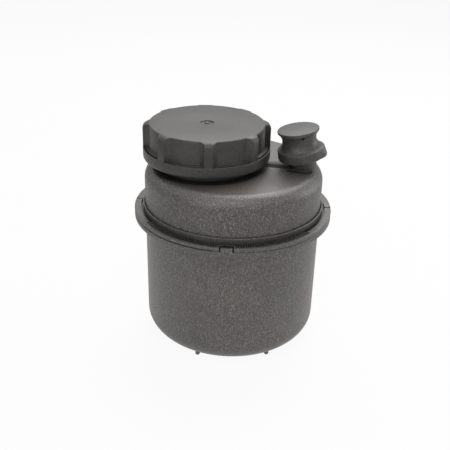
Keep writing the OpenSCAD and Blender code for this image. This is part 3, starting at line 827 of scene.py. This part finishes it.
# %% Cap body
cap_section = [
    (0, 141.4), (34.4, 141.4, 0.6), (34.4, 123.2), (35.9, 121.7), (41, 121.7, 2.4),
    (41, 129.3, 0.4), (40.2, 129.3, 0.15), (40.1, 127.9), (39.3, 127.9), (39.2, 129.7, 0.15),
    (37.2, 129.9, 0.3), (37.2, 144.6, 1.1),
    (4.3, 144.6, 0.3), (3.7, 143.6, 0.3), (1.6, 143.6, 0.3), (1.1, 144.5, 0.3), (0, 144.5),
]
cap_section = [tuple(value * MM for value in point) for point in cap_section]
cap = lathe("cap_moulding", cap_section, centre=(NECK_X, 0))
print("cap body:", len(cap.data.vertices), "vertices")

# %% Cap lugs
LUG_HALF = 5.2
LUG_COUNT = 8
# Rows in mm: distance from the axis, half width, drop of the crown.
lug_rows = [
    (36.9, 5.2, 0.05), (37.4, 4.5, 0.15), (38.6, 3.6, 0.5), (39.6, 3.1, 1.0), (40.3, 2.8, 1.8),
    (40.8, 2.5, 3.0),
]
cap_crown = rounded_box(
    "lug", (34.5 * MM, -LUG_HALF * MM, 128.9 * MM), (40.8 * MM, LUG_HALF * MM, 144.58 * MM), 0
)
for reach, half, drop in lug_rows[:-1]:
    activate(cap_crown)
    bpy.ops.object.mode_set(mode="EDIT")
    bpy.ops.mesh.select_all(action="SELECT")
    bpy.ops.mesh.bisect(plane_co=(reach * MM, 0, 0), plane_no=(1, 0, 0))
    bpy.ops.object.mode_set(mode="OBJECT")
for reach, half, drop in lug_rows:
    pick_verts(cap_crown, lambda co: abs(co.x - reach * MM) < 1e-6)
    bpy.ops.transform.resize(value=(1, half / LUG_HALF, 1), center_override=(0, 0, 0))
    pick_verts(cap_crown, lambda co: abs(co.x - reach * MM) < 1e-6 and co.z > 0.14)
    bpy.ops.transform.translate(value=(0, 0, -drop * MM))
bpy.ops.mesh.select_all(action="DESELECT")
bpy.ops.mesh.select_mode(type="EDGE")
bpy.ops.mesh.edges_select_sharp(sharpness=math.radians(50))
bpy.ops.mesh.bevel(offset=0.4 * MM, segments=3, affect="EDGES")
bpy.ops.object.mode_set(mode="OBJECT")
first_lug = math.radians(-83.3)
lug_angles = [first_lug + i * 2 * math.pi / LUG_COUNT for i in range(LUG_COUNT)]
cap_lugs = turn_copies(cap_crown, lug_angles)
bpy.data.objects.remove(cap_crown)
for cap_lug in cap_lugs:
    activate(cap_lug)
    bpy.ops.transform.translate(value=(NECK_X, 0, 0))
    bpy.ops.object.transform_apply(location=True, rotation=True, scale=True)
join(cap, cap_lugs)
finish_piece(cap, "cap", "cap_plastic", "filler_cap")

# %% [markdown]
# ## Dipstick knob
# Two fingers pull the knob by its waist, and the thumb lug on its collar helps to break it
# loose. It is turned upright at the origin, and its top is cut at a slight slope. A section
# with a curved waist is quicker than sculpting, and its edges stay true.

# %% Knob body
knob_section = [
    (0, -5.2), (6.6, -5.2, 0.4), (6.6, 6.8), (14.7, 6.8, 0.8), (14.7, 12.9, 0.5),
    (13.1, 13.7), (12.15, 14.8), (11.4, 16.2), (11.0, 17.5), (10.85, 18.8), (10.9, 20.0),
    (11.15, 21.2), (11.8, 22.9), (12.75, 24.1), (13.25, 24.6, 0.2), (13.25, 27.4), (0, 27.4),
]
knob_section = [tuple(value * MM for value in point) for point in knob_section]
knob = lathe("knob_moulding", knob_section, steps=120)
KNOB_TOP = 25.8 * MM
lug_turn = -STICK_TURN
front_turn = math.radians(-90) - STICK_TURN
slant = 1.4 / 26.5
activate(knob)
bpy.ops.object.mode_set(mode="EDIT")
bpy.ops.mesh.select_all(action="SELECT")
bpy.ops.mesh.bisect(
    plane_co=(0, 0, KNOB_TOP), use_fill=True, clear_outer=True,
    plane_no=(-slant * math.cos(front_turn), -slant * math.sin(front_turn), 1),
)
bpy.ops.mesh.bevel(offset=0.35 * MM, segments=3, affect="EDGES")
bpy.ops.object.mode_set(mode="OBJECT")
print("knob body:", len(knob.data.vertices), "vertices")


# %% [markdown]
# ## Thumb lug, vent and slot
# The thumb lug is pulled out of the collar with a smooth falloff, as one would pull clay. A
# small vent lets the tank breathe through the hollow knob, and the blade sits in a slot of
# the plug. Last, the finished knob moves to its leaning neck.

# %% Thumb lug, vent and slot
def on_thumb(co, low, high):
    """True on the collar's wall inside the thumb lug's width."""
    flat = Vector((co.x, co.y))
    if flat.length < 13.9 * MM or not low * MM < co.z < high * MM:
        return False
    turn = math.atan2(co.y, co.x) - lug_turn
    return abs(flat.length * math.sin(turn)) < 4.4 * MM and math.cos(turn) > 0


for low, high, reach, size in [(7.2, 13.2, 0.9, 6.5), (6.7, 9.0, 1.1, 4.5)]:
    pick_verts(knob, lambda co: on_thumb(co, low, high))
    pull = Vector((math.cos(lug_turn), math.sin(lug_turn), 0)) * reach * MM
    bpy.ops.transform.translate(
        value=pull, use_proportional_edit=True,
        proportional_edit_falloff="SMOOTH", proportional_size=size * MM,
    )
bpy.ops.object.mode_set(mode="OBJECT")
VENT_Z = 23.2 * MM
vent_turn = math.radians(-78) - STICK_TURN
vent_end = Vector((math.cos(vent_turn), math.sin(vent_turn), 0)) * 16 * MM
vent = peg("vent", 0.9 * MM, (0, 0, VENT_Z), vent_end + Vector((0, 0, VENT_Z)), 24)
slot_box = rounded_box(
    "slot", (-0.00055, -0.00305, -0.0075), (0.00055, 0.00305, 0.00681), 0
)
combine(knob, [vent, slot_box], "DIFFERENCE")
knob.matrix_world = (
    Matrix.Translation(STICK) @ Matrix.Rotation(STICK_TURN, 4, "Z")
    @ Matrix.Rotation(-STICK_LEAN, 4, "Y")
)
finish_piece(knob, "dipstick", "knob_plastic", "dipstick_knob")


# %% [markdown]
# ## Floor
# A plain white floor. Camera rays see it almost white, so that the background stays as pale
# as in the photograph, and the small rest of its own shading keeps a faint soft shadow.
# Mirrored in the plastic it is a white that fades with the distance, as a table's edge would.

# %% Floor
FLOOR_Z = pot_low.z
FLOOR_WHITE = 0.93
FLOOR_FADE = [(0.12, 1.0), (0.45, 0.65)]
deselect()
bpy.ops.mesh.primitive_plane_add(size=12, location=(0, 0, FLOOR_Z))
floor = bpy.context.object
floor.name = "floor"
floor_look, floor_tree, floor_shader, floor_place = new_material("floor_white", 0.9, 0.1)
floor_shader.inputs["Base Color"].default_value = (0.85, 0.85, 0.85, 1)
away = floor_tree.nodes.new("ShaderNodeVectorMath")
away.operation = "LENGTH"
fade = floor_tree.nodes.new("ShaderNodeValToRGB")
for stop, (metres, shade) in zip(fade.color_ramp.elements, FLOOR_FADE):
    stop.position = metres
    stop.color = (shade, shade, shade, 1)
mirror = floor_tree.nodes.new("ShaderNodeEmission")
white = floor_tree.nodes.new("ShaderNodeEmission")
seen = floor_tree.nodes.new("ShaderNodeLightPath")
glossy_mix = floor_tree.nodes.new("ShaderNodeMixShader")
camera_mix = floor_tree.nodes.new("ShaderNodeMixShader")
link = floor_tree.links.new
link(floor_place, away.inputs[0])
link(away.outputs["Value"], fade.inputs["Fac"])
link(fade.outputs["Color"], mirror.inputs["Color"])
link(seen.outputs["Is Glossy Ray"], glossy_mix.inputs["Fac"])
link(floor_shader.outputs[0], glossy_mix.inputs[1])
link(mirror.outputs[0], glossy_mix.inputs[2])
whiten = reckon(floor_tree, "MULTIPLY", seen.outputs["Is Camera Ray"], FLOOR_WHITE)
link(whiten, camera_mix.inputs["Fac"])
link(glossy_mix.outputs[0], camera_mix.inputs[1])
link(white.outputs[0], camera_mix.inputs[2])
link(camera_mix.outputs[0], floor_tree.nodes["Material Output"].inputs["Surface"])
floor.data.materials.append(floor_look)
print("floor at", round(FLOOR_Z / MM, 2), "mm")
